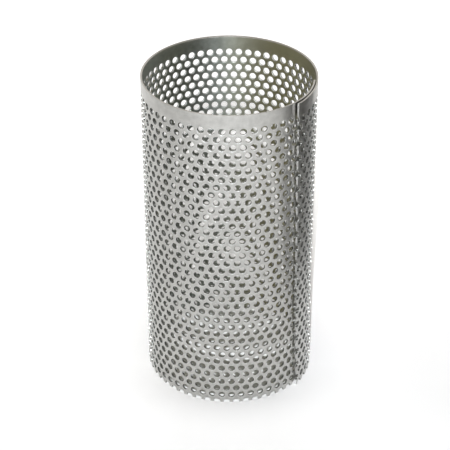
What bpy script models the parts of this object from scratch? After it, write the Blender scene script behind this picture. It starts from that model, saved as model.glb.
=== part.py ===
"""Strainer screen: one perforated stainless sheet, sheared, rolled to a tube and spot-welded along a lap."""
import bmesh
import bpy
import math

# Tube and sheet, in metres
SCREEN_HEIGHT = 0.1615
OUTER_RADIUS = 0.04115
SHEET_THICKNESS = 0.00095

# Perforation in staggered rows at 60 degrees
PLAIN_MARGIN = 0.0067
HOLE_PITCH = 0.01328
HOLE_DIAMETER = 0.00885
FIRST_COLUMN_INSET = 0.0013

# Lap seam, angles from the front (-Y) towards +X
SEAM_ANGLE = math.radians(48.3)
LAP_WIDTH = 0.0234
LAP_CLEARANCE = 0.00035
LAP_EASE_ANGLE = math.radians(47.0)
LAP_FLARE = 0.00055
LAP_FLARE_LENGTH = 0.009

# Out-of-round foot beside the seam
FOOT_BULGE = 0.0011
FOOT_BULGE_HEIGHT = 0.065
FOOT_BULGE_ANGLE = math.radians(70.0)
FOOT_BULGE_SPREAD = math.radians(70.0)

# Spot welds that hold the lap
WELD_DIAMETER = 0.003
WELD_DEPTH_BELOW_RIM = 0.0034
WELD_SPACING = 0.024
WELD_SINK = 0.0004
WELD_SIDES = 10

# Shading
SMOOTH_ANGLE = math.radians(55.0)

# Sizes that follow from the ones above
MID_RADIUS = OUTER_RADIUS - SHEET_THICKNESS / 2
SHEET_LENGTH = 2 * math.pi * MID_RADIUS + LAP_WIDTH
ROW_PITCH = HOLE_PITCH * math.sqrt(3) / 2
HOLE_RADIUS = HOLE_DIAMETER / 2
FIRST_ROW_HEIGHT = SCREEN_HEIGHT - PLAIN_MARGIN - HOLE_RADIUS
LAYER_STEP = SHEET_THICKNESS + LAP_CLEARANCE


def clear_scene():
    for obj in list(bpy.data.objects):
        bpy.data.objects.remove(obj, do_unlink=True)


def steel_material():
    material = bpy.data.materials.new("stainless_sheet")
    material.use_nodes = True
    shader = material.node_tree.nodes["Principled BSDF"]
    shader.inputs["Base Color"].default_value = (0.60, 0.61, 0.59, 1.0)
    shader.inputs["Metallic"].default_value = 1.0
    shader.inputs["Roughness"].default_value = 0.38
    return material


def smooth_step(value):
    t = min(max(value, 0.0), 1.0)
    return t * t * (3.0 - 2.0 * t)


# Hole lattice on the flat sheet, columns along the sheet and rows down from the rim

def hole_centre(column, row):
    shift = 0.5 if row % 2 == 0 else 0.0
    along = FIRST_COLUMN_INSET + (column + shift) * HOLE_PITCH
    height = FIRST_ROW_HEIGHT - row * ROW_PITCH
    return along, height


def column_below(column, row):
    return column + 1 if row % 2 == 0 else column


def row_count():
    return math.ceil((FIRST_ROW_HEIGHT + HOLE_PITCH) / ROW_PITCH) + 1


def column_range():
    last = math.ceil((SHEET_LENGTH - FIRST_COLUMN_INSET) / HOLE_PITCH) + 2
    return range(-2, last)


# Flat blank: a web between neighbours in a row, a knot between each pair and the hole above or below

def hole_corners(bm, column, row):
    along, height = hole_centre(column, row)
    corner_radius = HOLE_RADIUS * math.sqrt(math.pi / (8 * math.sin(math.pi / 8) * math.cos(math.pi / 8)))
    corners = []
    for step in range(8):
        angle = math.radians(22.5 + 45.0 * step)
        x = along + corner_radius * math.cos(angle)
        z = height + corner_radius * math.sin(angle)
        corners.append(bm.verts.new((x, 0.0, z)))
    return corners


def add_web(bm, left, right):
    bm.faces.new((left[7], left[0], right[3], right[4]))


def add_knot_below(bm, left, right, below):
    bm.faces.new((left[6], left[7], right[4], right[5], below[1], below[2]))


def add_knot_above(bm, left, right, above):
    bm.faces.new((left[0], left[1], above[5], above[6], right[2], right[3]))


def add_plain_band(bm, left, right, rim):
    chain = (left[2], left[1], left[0], right[3], right[2])
    for lower_a, lower_b in zip(chain, chain[1:]):
        bm.faces.new((rim[lower_b], rim[lower_a], lower_a, lower_b))


def rim_vertices(bm, corners_by_hole):
    rim = {}
    for corners in corners_by_hole:
        for corner in (corners[3], corners[2], corners[1], corners[0]):
            rim[corner] = bm.verts.new((corner.co.x, 0.0, SCREEN_HEIGHT))
    return rim


def flat_blank():
    bm = bmesh.new()
    columns = column_range()
    rows = range(row_count())
    holes = {(column, row): hole_corners(bm, column, row) for row in rows for column in columns}
    rim = rim_vertices(bm, [holes[column, 0] for column in columns])
    for row in rows:
        for column in columns[:-1]:
            left = holes[column, row]
            right = holes[column + 1, row]
            middle = column_below(column, row)
            add_web(bm, left, right)
            below = holes.get((middle, row + 1))
            above = holes.get((middle, row - 1))
            if below:
                add_knot_below(bm, left, right, below)
            if above:
                add_knot_above(bm, left, right, above)
            if row == 0:
                add_plain_band(bm, left, right, rim)
    return bm


# Shearing: foot and both ends are cut straight through the pattern

def shear(bm, point, outward):
    geometry = list(bm.verts) + list(bm.edges) + list(bm.faces)
    bmesh.ops.bisect_plane(bm, geom=geometry, plane_co=point, plane_no=outward, clear_outer=True)


def face_islands(bm):
    unseen = set(bm.faces)
    islands = []
    while unseen:
        island = []
        stack = [unseen.pop()]
        while stack:
            face = stack.pop()
            island.append(face)
            for edge in face.edges:
                for other in edge.link_faces:
                    if other in unseen:
                        unseen.remove(other)
                        stack.append(other)
        islands.append(island)
    return islands


def drop_offcuts(bm):
    islands = sorted(face_islands(bm), key=len, reverse=True)
    for island in islands[1:]:
        bmesh.ops.delete(bm, geom=island, context="FACES")


def shear_blank(bm):
    shear(bm, (0.0, 0.0, 0.0), (0.0, 0.0, -1.0))
    shear(bm, (0.0, 0.0, 0.0), (-1.0, 0.0, 0.0))
    shear(bm, (SHEET_LENGTH, 0.0, 0.0), (1.0, 0.0, 0.0))
    drop_offcuts(bm)


def thicken_blank(bm):
    extruded = bmesh.ops.extrude_face_region(bm, geom=list(bm.faces))
    for item in extruded["geom"]:
        if isinstance(item, bmesh.types.BMVert):
            item.co.y = SHEET_THICKNESS
    bmesh.ops.recalc_face_normals(bm, faces=list(bm.faces))
    bmesh.ops.triangulate(bm, faces=list(bm.faces))


# Rolling: the sheet's outer end rides over its inner end, and both ease back to the round tube

def bulge(angle, height):
    swing = math.remainder(angle - FOOT_BULGE_ANGLE, 2 * math.pi)
    across = smooth_step(1.0 - abs(swing) / FOOT_BULGE_SPREAD)
    down = smooth_step(1.0 - height / FOOT_BULGE_HEIGHT)
    return FOOT_BULGE * across * down


def flare(angle):
    along = (angle - SEAM_ANGLE) * MID_RADIUS
    return LAP_FLARE * smooth_step(1.0 - along / LAP_FLARE_LENGTH)


def middle_radius(angle, height):
    outer_end = 1.0 - smooth_step((angle - SEAM_ANGLE) / LAP_EASE_ANGLE)
    inner_end = smooth_step((angle - SEAM_ANGLE - 2 * math.pi) / LAP_EASE_ANGLE)
    lap = LAYER_STEP * (outer_end - inner_end)
    return MID_RADIUS + lap + flare(angle) + bulge(angle, height)


def rolled_point(along, depth, height):
    angle = SEAM_ANGLE + along / MID_RADIUS
    radius = middle_radius(angle, height) + depth
    return radius * math.sin(angle), -radius * math.cos(angle), height


def roll_blank(bm):
    for vertex in bm.verts:
        along, depth, height = vertex.co
        vertex.co = rolled_point(along, SHEET_THICKNESS / 2 - depth, height)
    bmesh.ops.recalc_face_normals(bm, faces=list(bm.faces))


# Spot welds, each where both layers have metal

def metal_round(along, height):
    row = round((FIRST_ROW_HEIGHT - height) / ROW_PITCH)
    nearest = SCREEN_HEIGHT
    for near_row in range(max(row - 1, 0), row + 2):
        offset = hole_centre(0, near_row)[0]
        column = round((along - offset) / HOLE_PITCH)
        centre_along, centre_height = hole_centre(column, near_row)
        nearest = min(nearest, math.hypot(along - centre_along, height - centre_height))
    return nearest - HOLE_RADIUS


def weld_room(along, height):
    turn = 2 * math.pi * MID_RADIUS
    ends = min(along, LAP_WIDTH - along)
    return min(metal_round(along, height), metal_round(along + turn, height), ends, SCREEN_HEIGHT - height)


def weld_spot(station):
    best = (-1.0, LAP_WIDTH / 2, station)
    for across in range(1, 40):
        for down in range(-10, 11):
            along = LAP_WIDTH * across / 40
            height = station + WELD_SPACING * down / 40
            room = weld_room(along, height)
            if room > best[0]:
                best = (room, along, height)
    return best[1], best[2]


def weld_spots():
    top = SCREEN_HEIGHT - WELD_DEPTH_BELOW_RIM
    spots = [(LAP_WIDTH / 3, top)]
    station = top - WELD_SPACING
    while station > FOOT_BULGE_HEIGHT:
        spots.append(weld_spot(station))
        station -= WELD_SPACING
    return spots


def weld_nugget(bm, along, height):
    angle = SEAM_ANGLE + along / MID_RADIUS
    outer_face = middle_radius(angle, height) - SHEET_THICKNESS / 2 + WELD_SINK
    inner_face = middle_radius(angle + 2 * math.pi, height) + SHEET_THICKNESS / 2 - WELD_SINK
    rings = []
    for radius in (inner_face, outer_face):
        ring = []
        for step in range(WELD_SIDES):
            turn = 2 * math.pi * (step + 0.5) / WELD_SIDES
            side = WELD_DIAMETER / 2 * math.cos(turn)
            x = radius * math.sin(angle) + side * math.cos(angle)
            y = -radius * math.cos(angle) + side * math.sin(angle)
            ring.append(bm.verts.new((x, y, height + WELD_DIAMETER / 2 * math.sin(turn))))
        rings.append(ring)
    bm.faces.new(rings[0])
    bm.faces.new(rings[1])
    for step in range(WELD_SIDES):
        after = (step + 1) % WELD_SIDES
        bm.faces.new((rings[0][step], rings[0][after], rings[1][after], rings[1][step]))


def mesh_object(name, bm, material):
    mesh = bpy.data.meshes.new(name)
    bm.to_mesh(mesh)
    bm.free()
    mesh.materials.append(material)
    obj = bpy.data.objects.new(name, mesh)
    bpy.context.scene.collection.objects.link(obj)
    return obj


def join_welds(sheet, welds):
    union = sheet.modifiers.new("welds", "BOOLEAN")
    union.operation = "UNION"
    union.solver = "EXACT"
    union.object = welds
    depsgraph = bpy.context.evaluated_depsgraph_get()
    welded = bpy.data.meshes.new_from_object(sheet.evaluated_get(depsgraph))
    sheet.modifiers.clear()
    sheet.data = welded
    bpy.data.objects.remove(welds, do_unlink=True)


def finish_mesh(sheet):
    bm = bmesh.new()
    bm.from_mesh(sheet.data)
    bmesh.ops.triangulate(bm, faces=[face for face in bm.faces if len(face.verts) > 3])
    bm.to_mesh(sheet.data)
    bm.free()
    for polygon in sheet.data.polygons:
        polygon.use_smooth = True
    sheet.data.set_sharp_from_angle(angle=SMOOTH_ANGLE)


def build_screen():
    steel = steel_material()
    blank = flat_blank()
    shear_blank(blank)
    thicken_blank(blank)
    roll_blank(blank)
    screen = mesh_object("perforated_screen", blank, steel)
    nuggets = bmesh.new()
    for along, height in weld_spots():
        weld_nugget(nuggets, along, height)
    bmesh.ops.recalc_face_normals(nuggets, faces=list(nuggets.faces))
    welds = mesh_object("weld_nuggets", nuggets, steel)
    join_welds(screen, welds)
    finish_mesh(screen)
    return screen


clear_scene()
build_screen()
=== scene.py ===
"""Looks of the strainer screen: the punched and rolled sheet, its steel, the floor, light and camera."""
import math

import bmesh
import bpy
from mathutils import Matrix, Vector

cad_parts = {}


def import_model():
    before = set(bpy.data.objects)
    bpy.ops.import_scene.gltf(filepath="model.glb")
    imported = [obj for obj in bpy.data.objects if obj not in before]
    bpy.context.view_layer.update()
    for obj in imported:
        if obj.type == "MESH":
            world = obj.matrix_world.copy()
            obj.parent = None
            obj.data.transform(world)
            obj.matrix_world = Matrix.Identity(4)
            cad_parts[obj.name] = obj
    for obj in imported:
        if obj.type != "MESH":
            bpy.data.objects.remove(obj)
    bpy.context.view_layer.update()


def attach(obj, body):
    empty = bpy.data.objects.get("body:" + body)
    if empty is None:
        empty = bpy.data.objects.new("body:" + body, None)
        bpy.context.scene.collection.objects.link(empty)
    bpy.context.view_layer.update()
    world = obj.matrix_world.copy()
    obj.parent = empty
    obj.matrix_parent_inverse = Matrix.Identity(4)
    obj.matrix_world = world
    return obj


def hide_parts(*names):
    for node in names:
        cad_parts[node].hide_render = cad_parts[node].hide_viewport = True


# Sheet and tube, as in the part's source
SCREEN_HEIGHT = 0.1615
OUTER_RADIUS = 0.04115
SHEET_THICKNESS = 0.00095
PLAIN_MARGIN = 0.0067
SEAM_ANGLE = math.radians(48.3)
LAP_WIDTH = 0.0234
LAP_CLEARANCE = 0.00035
LAP_EASE_ANGLE = math.radians(47.0)
LAP_FLARE = 0.00055
LAP_FLARE_LENGTH = 0.009
FOOT_BULGE = 0.0011
FOOT_BULGE_HEIGHT = 0.065
FOOT_BULGE_ANGLE = math.radians(70.0)
FOOT_BULGE_SPREAD = math.radians(70.0)
MID_RADIUS = OUTER_RADIUS - SHEET_THICKNESS / 2
SHEET_LENGTH = 2 * math.pi * MID_RADIUS + LAP_WIDTH
LAYER_STEP = SHEET_THICKNESS + LAP_CLEARANCE

# The punched pattern at its real fineness, each hole a little wider at its outer end
HOLES_PER_TURN = 53.34
HOLE_PITCH = 2 * math.pi * MID_RADIUS / HOLES_PER_TURN
ROW_PITCH = 0.0041244
HOLE_RADIUS = 0.0015875
HOLE_TAPER = 0.00008
FIRST_COLUMN_INSET = 0.0001
FIRST_ROW_HEIGHT = SCREEN_HEIGHT - PLAIN_MARGIN - HOLE_RADIUS
HOLE_SIDES = 18
ARC = HOLE_SIDES // 6

# The outer layer's sheared edge, which leans off the columns of holes, and the rounded rim
SEAM_EDGE_AT_RIM = -0.00124
SEAM_LEAN = 0.022
RIM_ROUND_OUTSIDE = 0.00006
RIM_ROUND_INSIDE = 0.00045
RIM_STEPS_OUTSIDE = 1
RIM_STEPS_INSIDE = 3
RIM_ZONE = 0.0005
SHARP_ANGLE = math.radians(50.0)
NEAR = 0.00001

# Material slots of the sheet's mesh
OUTER_FACE = 0
INNER_FACE = 1
SHEARED_EDGE = 2
PUNCHED_WALL = 3
RIM_EDGE = 4

# The flat sheet's texture coordinates, in tenths of a metre, spread out on the hole walls
SHEET_SCALE = 10.0
WALL_SPREAD = 3.0

# Lip that the punch rolls round each hole, duller than the face, with a painted highlight: its paler colour
# stands for the light the rolled edge catches
LIP_WIDTH = 0.00035
LIP_DEPTH = 0.00012
LIP_HIGHLIGHT_COLOUR = (0.86, 0.86, 0.85, 1.0)
LIP_HIGHLIGHT_SHARE = 0.7
LIP_ROUGHNESS = 0.25

# Steel: mottled colour from dark to light, and a painted warm reflection inside, which ends along the sheet
OUTER_DARK = (0.415, 0.412, 0.395, 1.0)
OUTER_LIGHT = (0.54, 0.535, 0.515, 1.0)
OUTER_ROUGHNESS = 0.34
OUTER_ANISOTROPY = 0.15
# Painted shade: the inner face's colours are darker than the outer face's, for the shade inside the tube
INNER_SHADED_DARK = (0.23, 0.246, 0.222, 1.0)
INNER_SHADED_LIGHT = (0.32, 0.336, 0.306, 1.0)
INNER_WARM_REFLECTION = (0.33, 0.308, 0.195, 1.0)
INNER_ROUGHNESS = 0.39
INNER_ANISOTROPY = 0.60
WARM_REFLECTION_FULL_TO = 0.70
WARM_REFLECTION_ENDS_AT = 1.0
# Painted highlight: the sheared edge's colour is paler than steel, standing for the glint its burr catches
SHEARED_GLINT_DARK = (0.80, 0.80, 0.80, 1.0)
SHEARED_GLINT_LIGHT = (0.96, 0.96, 0.95, 1.0)
# Painted shade: the punched walls are darker than the faces, for the shade inside the holes
WALL_SHADED_DARK = (0.26, 0.26, 0.245, 1.0)
WALL_SHADED_LIGHT = (0.40, 0.40, 0.38, 1.0)
# Painted shade: the rim's colour is darker than the faces, standing for the shade on its top and edges
RIM_SHADED_DARK = (0.34, 0.32, 0.29, 1.0)
RIM_SHADED_LIGHT = (0.48, 0.46, 0.42, 1.0)

# Floor and backdrop
FLOOR_RADIUS = 3.0
BACKDROP_RADIUS = 2.98
BACKDROP_LOW = 0.9
BACKDROP_RISE = 2.6
FLOOR_INSIDE_TUBE = (0.92, 0.90, 0.87, 1.0)
FLOOR_AROUND = (0.62, 0.597, 0.578, 1.0)
TUBE_INNER_EDGE = 0.0400
TUBE_OUTER_EDGE = 0.0415

# Dark card that stands at the right, seen only in the steel
CARD_PLACE = 0.12
CARD_FRONT = -0.055
CARD_BACK = 0.070
CARD_HEIGHT = 0.14
CARD_COLOUR = (0.06, 0.055, 0.05, 1.0)

# Key lamp, as small as a flash above the lens
KEY_PLACE = (-0.0127, -0.6077, 0.5942)
KEY_AIM = (0.0, 0.0, 0.06)
KEY_SIZE = 0.006
KEY_POWER = 9.0
KEY_COLOUR = (0.89, 0.94, 1.0)

# Camera found from the photo's hole lattice
CAMERA_DISTANCE = 0.71597
CAMERA_ELEVATION = math.radians(32.4728)
CAMERA_PITCH = math.radians(32.634)
CAMERA_YAW = math.radians(-0.1732)
CAMERA_ROLL = math.radians(0.0804)
CAMERA_LENS = 116.397


def smooth_step(value):
    t = min(max(value, 0.0), 1.0)
    return t * t * (3.0 - 2.0 * t)


# Flat blank with its lattice of holes

def hole_centre(column, row):
    shift = 0.5 if row % 2 == 0 else 0.0
    return FIRST_COLUMN_INSET + (column + shift) * HOLE_PITCH, FIRST_ROW_HEIGHT - row * ROW_PITCH


def hole_ring(bm, column, row):
    along, height = hole_centre(column, row)
    ring = []
    for step in range(HOLE_SIDES):
        turn = 2 * math.pi * (step + 0.5) / HOLE_SIDES
        corner = (along + HOLE_RADIUS * math.cos(turn), 0.0, height + HOLE_RADIUS * math.sin(turn))
        ring.append(bm.verts.new(corner))
    return ring


def arc_of(ring, sixth):
    return [ring[(sixth * ARC + step) % HOLE_SIDES] for step in range(ARC)]


def web(bm, ring, other, sixth):
    after = (sixth * ARC) % HOLE_SIDES
    facing = (after + HOLE_SIDES // 2) % HOLE_SIDES
    bm.faces.new((ring[after - 1], ring[after], other[facing - 1], other[facing]))


def plain_band(bm, left, right, rim):
    chain = left[HOLE_SIDES // 4::-1] + right[HOLE_SIDES // 2 - 1:HOLE_SIDES // 4 - 1:-1]
    for first, second in zip(chain, chain[1:]):
        for corner in (first, second):
            if corner not in rim:
                rim[corner] = bm.verts.new((corner.co.x, 0.0, SCREEN_HEIGHT))
        bm.faces.new((first, second, rim[second], rim[first]))


def flat_blank():
    bm = bmesh.new()
    columns = range(-2, math.ceil(SHEET_LENGTH / HOLE_PITCH) + 2)
    rows = range(math.ceil((FIRST_ROW_HEIGHT + HOLE_PITCH) / ROW_PITCH) + 1)
    rings = {(column, row): hole_ring(bm, column, row) for row in rows for column in columns}
    rim = {}
    for (column, row), left in rings.items():
        right = rings.get((column + 1, row))
        if right is None:
            continue
        middle = column + 1 if row % 2 == 0 else column
        below, above = rings.get((middle, row + 1)), rings.get((middle, row - 1))
        web(bm, left, right, 0)
        if below:
            web(bm, left, below, 5)
            web(bm, below, right, 1)
            bm.faces.new(arc_of(left, 5) + arc_of(right, 3) + arc_of(below, 1))
        if above:
            bm.faces.new(arc_of(left, 0) + arc_of(above, 4) + arc_of(right, 2))
        if row == 0:
            plain_band(bm, left, right, rim)
    return bm


# Shearing and thickness

def seam_edge(height):
    return SEAM_EDGE_AT_RIM + SEAM_LEAN * (SCREEN_HEIGHT - height)


def shear(bm, point, outward):
    geometry = list(bm.verts) + list(bm.edges) + list(bm.faces)
    bmesh.ops.bisect_plane(bm, geom=geometry, plane_co=point, plane_no=outward, clear_outer=True)


def rim_edges(bm, depth):
    found = []
    for edge in bm.edges:
        off = max(abs(corner.co.y - depth) for corner in edge.verts)
        if min(corner.co.z for corner in edge.verts) > SCREEN_HEIGHT - NEAR and off < NEAR:
            found.append(edge)
    return found


def round_rim(bm):
    outside = (0.0, RIM_ROUND_OUTSIDE, RIM_STEPS_OUTSIDE)
    inside = (SHEET_THICKNESS, RIM_ROUND_INSIDE, RIM_STEPS_INSIDE)
    for depth, width, steps in (outside, inside):
        edges = rim_edges(bm, depth)
        bmesh.ops.bevel(bm, geom=edges, offset=width, segments=steps, profile=0.5, affect="EDGES")


def to_outline(along, height):
    return min(along - seam_edge(height), SHEET_LENGTH - along, height, SCREEN_HEIGHT - height)


def face_kind(face):
    centre = face.calc_center_median()
    if centre.z > SCREEN_HEIGHT - RIM_ROUND_INSIDE and abs(face.normal.y) < 0.99:
        return RIM_EDGE
    if abs(face.normal.y) > 0.5:
        return INNER_FACE if centre.y > SHEET_THICKNESS / 2 else OUTER_FACE
    return SHEARED_EDGE if to_outline(centre.x, centre.z) < NEAR else PUNCHED_WALL


def nearest_hole(along, height):
    row = round((FIRST_ROW_HEIGHT - height) / ROW_PITCH)
    best = None
    for near in (row - 1, row, row + 1):
        shift = 0.5 if near % 2 == 0 else 0.0
        column = round((along - FIRST_COLUMN_INSET) / HOLE_PITCH - shift)
        x, z = hole_centre(column, near)
        distance = math.hypot(along - x, height - z)
        if near >= 0 and (best is None or distance < best[0]):
            best = (distance, x, z)
    return best


def widen_outer_end(vertex):
    along, _, height = vertex.co
    if to_outline(along, height) < NEAR:
        return
    distance, x, z = nearest_hole(along, height)
    if distance < HOLE_RADIUS + NEAR:
        grow = (HOLE_RADIUS + HOLE_TAPER) / HOLE_RADIUS
        vertex.co.x = max(x + (along - x) * grow, seam_edge(height))
        vertex.co.z = max(z + (height - z) * grow, 0.0)


def thicken(bm):
    outer = list(bm.verts)
    extruded = bmesh.ops.extrude_face_region(bm, geom=list(bm.faces))
    for item in extruded["geom"]:
        if isinstance(item, bmesh.types.BMVert):
            item.co.y = SHEET_THICKNESS
    for vertex in outer:
        widen_outer_end(vertex)
    bmesh.ops.recalc_face_normals(bm, faces=list(bm.faces))
    round_rim(bm)
    for face in bm.faces:
        face.material_index = face_kind(face)
    bmesh.ops.triangulate(bm, faces=list(bm.faces))


def lay_sheet_coordinates(bm):
    layer = bm.loops.layers.uv.new("sheet")
    for face in bm.faces:
        spread = 0.0 if face.material_index <= INNER_FACE else WALL_SPREAD
        for loop in face.loops:
            along, depth, height = loop.vert.co
            loop[layer].uv = (along * SHEET_SCALE, (height + spread * depth) * SHEET_SCALE)


# Rolling

def bulge(angle, height):
    swing = math.remainder(angle - FOOT_BULGE_ANGLE, 2 * math.pi)
    across = smooth_step(1.0 - abs(swing) / FOOT_BULGE_SPREAD)
    return FOOT_BULGE * across * smooth_step(1.0 - height / FOOT_BULGE_HEIGHT)


def flare(angle):
    along = (angle - SEAM_ANGLE) * MID_RADIUS
    return LAP_FLARE * smooth_step(1.0 - along / LAP_FLARE_LENGTH)


def middle_radius(angle, height):
    outer_end = 1.0 - smooth_step((angle - SEAM_ANGLE) / LAP_EASE_ANGLE)
    inner_end = smooth_step((angle - SEAM_ANGLE - 2 * math.pi) / LAP_EASE_ANGLE)
    lap = LAYER_STEP * (outer_end - inner_end)
    return MID_RADIUS + lap + flare(angle) + bulge(angle, height)


def roll(bm):
    for vertex in bm.verts:
        along, depth, height = vertex.co
        angle = SEAM_ANGLE + along / MID_RADIUS
        radius = middle_radius(angle, height) + SHEET_THICKNESS / 2 - depth
        vertex.co = (radius * math.sin(angle), -radius * math.cos(angle), height)
    bmesh.ops.recalc_face_normals(bm, faces=list(bm.faces))


def sharpen_rim(mesh):
    for edge in mesh.edges:
        heights = [mesh.vertices[corner].co.z for corner in edge.vertices]
        if min(heights) > SCREEN_HEIGHT - RIM_ZONE and abs(heights[0] - heights[1]) < NEAR:
            edge.use_edge_sharp = True


def rolled_sheet():
    bm = flat_blank()
    shear(bm, (0.0, 0.0, 0.0), (0.0, 0.0, -1.0))
    shear(bm, (seam_edge(0.0), 0.0, 0.0), (-1.0, 0.0, -SEAM_LEAN))
    shear(bm, (SHEET_LENGTH, 0.0, 0.0), (1.0, 0.0, 0.0))
    thicken(bm)
    lay_sheet_coordinates(bm)
    roll(bm)
    mesh = finished_mesh("screen_sheet", bm)
    for polygon in mesh.polygons:
        polygon.use_smooth = True
    mesh.set_sharp_from_angle(angle=SHARP_ANGLE)
    sharpen_rim(mesh)
    return link_object("screen_sheet", mesh)


def finished_mesh(name, bm):
    mesh = bpy.data.meshes.new(name)
    bm.to_mesh(mesh)
    bm.free()
    return mesh


def link_object(name, data):
    obj = bpy.data.objects.new(name, data)
    bpy.context.scene.collection.objects.link(obj)
    return obj


# Shader nodes

class Graph:
    """A node tree of a material or the world, with one call for each kind of node."""

    def __init__(self, tree):
        self.nodes = tree.nodes
        self.links = tree.links

    def feed(self, socket, value):
        if isinstance(value, bpy.types.NodeSocket):
            self.links.new(value, socket)
        else:
            socket.default_value = value

    def coordinates(self, kind):
        return self.nodes.new("ShaderNodeTexCoord").outputs[kind]

    def parts(self, vector):
        node = self.nodes.new("ShaderNodeSeparateXYZ")
        self.feed(node.inputs[0], vector)
        return node.outputs[0], node.outputs[1], node.outputs[2]

    def length(self, vector):
        node = self.nodes.new("ShaderNodeVectorMath")
        node.operation = "LENGTH"
        self.feed(node.inputs[0], vector)
        return node.outputs["Value"]

    def stretch(self, vector, scale):
        node = self.nodes.new("ShaderNodeMapping")
        self.feed(node.inputs["Vector"], vector)
        self.feed(node.inputs["Scale"], scale)
        return node.outputs["Vector"]

    def calculate(self, operation, *values):
        node = self.nodes.new("ShaderNodeMath")
        node.operation = operation
        for socket, value in zip(node.inputs, values):
            self.feed(socket, value)
        return node.outputs[0]

    def ramp(self, factor, low, high, low_value, high_value):
        node = self.nodes.new("ShaderNodeMapRange")
        self.feed(node.inputs["Value"], factor)
        self.feed(node.inputs["From Min"], low)
        self.feed(node.inputs["From Max"], high)
        self.feed(node.inputs["To Min"], low_value)
        self.feed(node.inputs["To Max"], high_value)
        return node.outputs["Result"]

    def noise(self, vector, scale, detail, roughness=0.5):
        node = self.nodes.new("ShaderNodeTexNoise")
        self.feed(node.inputs["Vector"], vector)
        self.feed(node.inputs["Scale"], scale)
        self.feed(node.inputs["Detail"], detail)
        self.feed(node.inputs["Roughness"], roughness)
        return node.outputs["Fac"]

    def blend(self, factor, first, second):
        node = self.nodes.new("ShaderNodeMix")
        node.data_type = "RGBA"
        self.feed(node.inputs[0], factor)
        self.feed(node.inputs[6], first)
        self.feed(node.inputs[7], second)
        return node.outputs[2]

    def bump(self, height, strength, distance, below=None):
        node = self.nodes.new("ShaderNodeBump")
        self.feed(node.inputs["Height"], height)
        self.feed(node.inputs["Strength"], strength)
        self.feed(node.inputs["Distance"], distance)
        if below:
            self.feed(node.inputs["Normal"], below)
        return node.outputs["Normal"]

    def around_axis(self):
        node = self.nodes.new("ShaderNodeTangent")
        node.direction_type = "RADIAL"
        node.axis = "Z"
        return node.outputs["Tangent"]

    def seen_or_mirrored(self):
        path = self.nodes.new("ShaderNodeLightPath").outputs
        mirrored = self.calculate("MAXIMUM", path["Is Glossy Ray"], path["Is Transmission Ray"])
        return self.calculate("MAXIMUM", path["Is Camera Ray"], mirrored)


def new_material(name):
    material = bpy.data.materials.new(name)
    material.use_nodes = True
    return material, Graph(material.node_tree), material.node_tree.nodes["Principled BSDF"].inputs


# Steel

def distance_to_holes(graph, along, down):
    across = graph.calculate("WRAP", along, HOLE_PITCH / 2, -HOLE_PITCH / 2)
    over = graph.calculate("WRAP", down, ROW_PITCH, -ROW_PITCH)
    squares = [graph.calculate("MULTIPLY", part, part) for part in (across, over)]
    return graph.calculate("SQRT", graph.calculate("ADD", *squares))


def hole_lip(graph, along, down):
    shifted = graph.calculate("SUBTRACT", along, HOLE_PITCH / 2)
    lower = graph.calculate("SUBTRACT", down, ROW_PITCH)
    even = distance_to_holes(graph, shifted, down)
    odd = distance_to_holes(graph, along, lower)
    nearest = graph.calculate("MINIMUM", even, odd)
    lip = graph.ramp(nearest, HOLE_RADIUS, HOLE_RADIUS + LIP_WIDTH, 1.0, 0.0)
    below_band = graph.calculate("GREATER_THAN", down, -ROW_PITCH / 2)
    return graph.calculate("MULTIPLY", lip, below_band)


def face_colour(graph, mottle, along, lip, dark, light, warm_reflection):
    colour = graph.blend(graph.ramp(mottle, 0.3, 0.7, 0.0, 1.0), dark, light)
    # Painted reflection: a warm tint over the inner face, full up to one point along the sheet and gone by
    # another
    if warm_reflection:
        warm_reflected = graph.ramp(along, WARM_REFLECTION_FULL_TO, WARM_REFLECTION_ENDS_AT, 1.0, 0.0)
        colour = graph.blend(warm_reflected, colour, warm_reflection)
    # Painted highlight: the lip is blended toward a paler colour for the light its rolled edge catches
    return graph.blend(graph.calculate("MULTIPLY", lip, LIP_HIGHLIGHT_SHARE), colour, LIP_HIGHLIGHT_COLOUR)


def face_roughness(graph, sheet, mottle, lip, roughness):
    streaks = graph.noise(graph.stretch(sheet, (6.0, 120.0, 1.0)), 4.0, 6.0, 0.7)
    patches = graph.ramp(mottle, 0.3, 0.7, roughness - 0.04, roughness + 0.04)
    brushed = graph.calculate("ADD", patches, graph.ramp(streaks, 0.3, 0.7, -0.05, 0.07))
    return graph.calculate("MULTIPLY_ADD", lip, LIP_ROUGHNESS, brushed)


def face_normal(graph, sheet, lip):
    pebble = graph.bump(graph.noise(sheet, 260.0, 3.0), 0.06, 0.0003)
    fall = graph.calculate("MULTIPLY", lip, lip)
    return graph.bump(graph.calculate("SUBTRACT", 1.0, fall), 1.0, LIP_DEPTH, pebble)


def steel_face(name, dark, light, warm_reflection, roughness, anisotropy):
    material, graph, shader = new_material(name)
    sheet = graph.coordinates("UV")
    along, height, _ = graph.parts(sheet)
    from_column = graph.calculate("MULTIPLY_ADD", along, 1.0 / SHEET_SCALE, -FIRST_COLUMN_INSET)
    from_row = graph.calculate("MULTIPLY_ADD", height, -1.0 / SHEET_SCALE, FIRST_ROW_HEIGHT)
    lip = hole_lip(graph, from_column, from_row)
    mottle = graph.noise(sheet, 30.0, 5.0, 0.65)
    shader["Metallic"].default_value = 1.0
    shader["Anisotropic"].default_value = anisotropy
    shader["Anisotropic Rotation"].default_value = 0.25
    graph.feed(shader["Tangent"], graph.around_axis())
    graph.feed(shader["Base Color"], face_colour(graph, mottle, along, lip, dark, light, warm_reflection))
    graph.feed(shader["Roughness"], face_roughness(graph, sheet, mottle, lip, roughness))
    graph.feed(shader["Normal"], face_normal(graph, sheet, lip))
    return material


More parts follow.
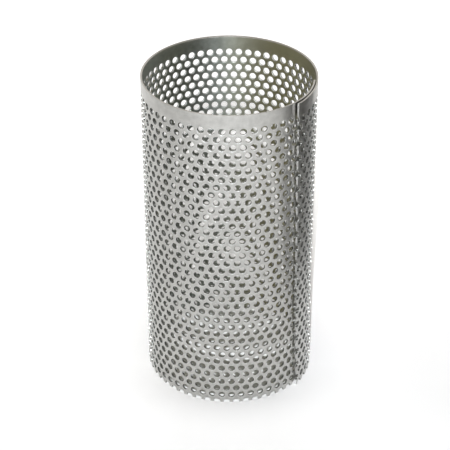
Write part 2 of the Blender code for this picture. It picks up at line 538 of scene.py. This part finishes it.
def cut_steel(name, dark, light, grain_scale, smoothest, roughest):
    material, graph, shader = new_material(name)
    grain = graph.noise(graph.coordinates("UV"), grain_scale, 4.0)
    shader["Metallic"].default_value = 1.0
    graph.feed(shader["Base Color"], graph.blend(grain, dark, light))
    graph.feed(shader["Roughness"], graph.ramp(grain, 0.3, 0.7, smoothest, roughest))
    return material


def sheet_materials():
    outer = steel_face("outer_face", OUTER_DARK, OUTER_LIGHT, None, OUTER_ROUGHNESS, OUTER_ANISOTROPY)
    inner = steel_face("inner_face", INNER_SHADED_DARK, INNER_SHADED_LIGHT, INNER_WARM_REFLECTION, INNER_ROUGHNESS, INNER_ANISOTROPY)
    sheared = cut_steel("sheared_edge", SHEARED_GLINT_DARK, SHEARED_GLINT_LIGHT, 90.0, 0.26, 0.40)
    punched = cut_steel("punched_wall", WALL_SHADED_DARK, WALL_SHADED_LIGHT, 120.0, 0.20, 0.32)
    rim = cut_steel("rim_edge", RIM_SHADED_DARK, RIM_SHADED_LIGHT, 90.0, 0.26, 0.40)
    return outer, inner, sheared, punched, rim


# Floor and backdrop

def shadow_fill(graph, x, y):
    """Painted light on the strip right of the tube, where its shadow would show past its outline."""
    outline = graph.calculate("MULTIPLY_ADD", y, -0.0516, x)
    shadow_edge = graph.calculate("MULTIPLY_ADD", y, -0.0840, x)
    past_outline = graph.ramp(outline, 0.0430, 0.0455, 0.0, 0.24)
    in_shadow = graph.ramp(shadow_edge, 0.0410, 0.0430, 1.0, 0.0)
    return graph.calculate("MULTIPLY", past_outline, in_shadow)


def foot_shade(graph, y, reach):
    """Soft shade where the foot meets the floor, deepest in front."""
    touch = graph.ramp(reach, TUBE_OUTER_EDGE, 0.0680, 0.49, 0.0)
    front = graph.ramp(y, -0.038, -0.010, 1.0, 0.17)
    return graph.calculate("MULTIPLY", graph.calculate("MULTIPLY", touch, touch), front)


def floor_glow(graph, x, y, reach):
    """How white the floor glows: dim in front, brighter behind and beside, and full far away."""
    across = graph.calculate("ABSOLUTE", x)
    behind = graph.ramp(y, -0.03, 0.06, 0.0, 1.0)
    before = graph.calculate("SUBTRACT", 1.0, behind)
    glow = graph.ramp(y, -0.12, 0.45, 0.13, 0.90)
    beside = graph.ramp(across, 0.036, 0.060, 0.0, 0.14)
    glow = graph.calculate("MULTIPLY_ADD", beside, behind, glow)
    glow = graph.calculate("MULTIPLY_ADD", shadow_fill(graph, x, y), behind, glow)
    wide = graph.ramp(across, 0.020, 0.065, 0.0, 0.08)
    glow = graph.calculate("MULTIPLY_ADD", wide, before, glow)
    glow = graph.calculate("SUBTRACT", glow, foot_shade(graph, y, reach))
    return graph.calculate("MAXIMUM", glow, graph.ramp(reach, 0.45, 0.90, 0.0, 1.0))


def white_ground():
    material, graph, shader = new_material("white_ground")
    place = graph.coordinates("Object")
    x, y, _ = graph.parts(place)
    reach = graph.length(place)
    outside = graph.ramp(reach, TUBE_INNER_EDGE, TUBE_OUTER_EDGE, 0.0, 1.0)
    glow = graph.calculate("MULTIPLY", outside, floor_glow(graph, x, y, reach))
    shader["Roughness"].default_value = 0.9
    shader["Specular IOR Level"].default_value = 0.0
    shader["Emission Color"].default_value = (1.0, 1.0, 1.0, 1.0)
    graph.feed(shader["Base Color"], graph.blend(outside, FLOOR_INSIDE_TUBE, FLOOR_AROUND))
    graph.feed(shader["Emission Strength"], graph.calculate("MULTIPLY", graph.seen_or_mirrored(), glow))
    return material


def link_stage(name, bm, material):
    mesh = finished_mesh(name, bm)
    mesh.materials.append(material)
    obj = link_object(name, mesh)
    return obj


def floor(material):
    bm = bmesh.new()
    bmesh.ops.create_circle(bm, cap_ends=True, segments=96, radius=FLOOR_RADIUS)
    link_stage("floor", bm, material)


def backdrop_height(depth):
    return BACKDROP_LOW + BACKDROP_RISE * smooth_step((depth - 1.0) / 0.8)


def backdrop(material):
    bm = bmesh.new()
    ring = bmesh.ops.create_circle(bm, cap_ends=False, segments=96, radius=BACKDROP_RADIUS)["verts"]
    for first, second in zip(ring, ring[1:] + ring[:1]):
        raised = [bm.verts.new((v.co.x, v.co.y, backdrop_height(v.co.y))) for v in (first, second)]
        bm.faces.new((first, second, raised[1], raised[0]))
    bmesh.ops.remove_doubles(bm, verts=list(bm.verts), dist=0.0001)
    link_stage("backdrop", bm, material)


# Light and camera

def dark_card():
    material, graph, shader = new_material("dark_card")
    _, _, height = graph.parts(graph.coordinates("Object"))
    shader["Base Color"].default_value = CARD_COLOUR
    shader["Roughness"].default_value = 0.9
    graph.feed(shader["Alpha"], graph.ramp(height, 0.070, 0.095, 0.82, 1.0))
    bm = bmesh.new()
    foot = [(CARD_PLACE, CARD_FRONT, 0.0), (CARD_PLACE, CARD_BACK, 0.0)]
    top = [(CARD_PLACE, CARD_BACK, CARD_HEIGHT), (CARD_PLACE, CARD_FRONT, CARD_HEIGHT)]
    bm.faces.new([bm.verts.new(corner) for corner in foot + top])
    card = link_stage("dark_card", bm, material)
    card.visible_camera = False


def world():
    studio = bpy.data.worlds.new("studio")
    studio.use_nodes = True
    bpy.context.scene.world = studio
    graph = Graph(studio.node_tree)
    background = studio.node_tree.nodes["Background"].inputs
    x, _, z = graph.parts(graph.coordinates("Generated"))
    overhead = graph.ramp(z, 0.45, 0.95, 0.10, 0.50)
    left = graph.ramp(x, -0.95, -0.20, 0.20, 0.0)
    graph.feed(background["Strength"], graph.calculate("ADD", overhead, left))
    warmth = graph.ramp(x, -0.9, 0.1, 1.0, 0.0)
    graph.feed(background["Color"], graph.blend(warmth, (0.97, 0.99, 1.0, 1.0), (1.0, 0.88, 0.52, 1.0)))


def key_lamp(caster):
    data = bpy.data.lights.new("key", "AREA")
    data.shape = "RECTANGLE"
    data.size = KEY_SIZE
    data.size_y = KEY_SIZE
    data.energy = KEY_POWER
    data.color = KEY_COLOUR
    lamp = link_object("key", data)
    lamp.location = KEY_PLACE
    lamp.rotation_euler = (Vector(KEY_AIM) - Vector(KEY_PLACE)).to_track_quat("-Z", "Y").to_euler()
    casters = bpy.data.collections.new("shadow_casters")
    casters.objects.link(caster)
    lamp.light_linking.blocker_collection = casters


def camera():
    data = bpy.data.cameras.new("camera")
    data.sensor_width = 36.0
    data.lens = CAMERA_LENS
    data.clip_start = 0.01
    data.clip_end = 20.0
    cam = link_object("camera", data)
    forward = Vector((math.sin(CAMERA_YAW) * math.cos(CAMERA_PITCH),
                      math.cos(CAMERA_YAW) * math.cos(CAMERA_PITCH), -math.sin(CAMERA_PITCH)))
    right = Vector((math.cos(CAMERA_YAW), -math.sin(CAMERA_YAW), 0.0))
    up = right.cross(forward)
    c, s = math.cos(CAMERA_ROLL), math.sin(CAMERA_ROLL)
    right, up = right * c + up * s, up * c - right * s
    turn = Matrix((right, up, -forward)).transposed().to_4x4()
    place = Vector((0.0, -CAMERA_DISTANCE * math.cos(CAMERA_ELEVATION),
                    SCREEN_HEIGHT / 2 + CAMERA_DISTANCE * math.sin(CAMERA_ELEVATION)))
    cam.matrix_world = Matrix.Translation(place) @ turn
    bpy.context.scene.camera = cam


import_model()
screen = rolled_sheet()
for steel in sheet_materials():
    screen.data.materials.append(steel)
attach(screen, "root")
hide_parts("perforated_screen")
ground = white_ground()
floor(ground)
backdrop(ground)
dark_card()
world()
key_lamp(screen)
camera()
bpy.context.scene.view_settings.view_transform = "Standard"
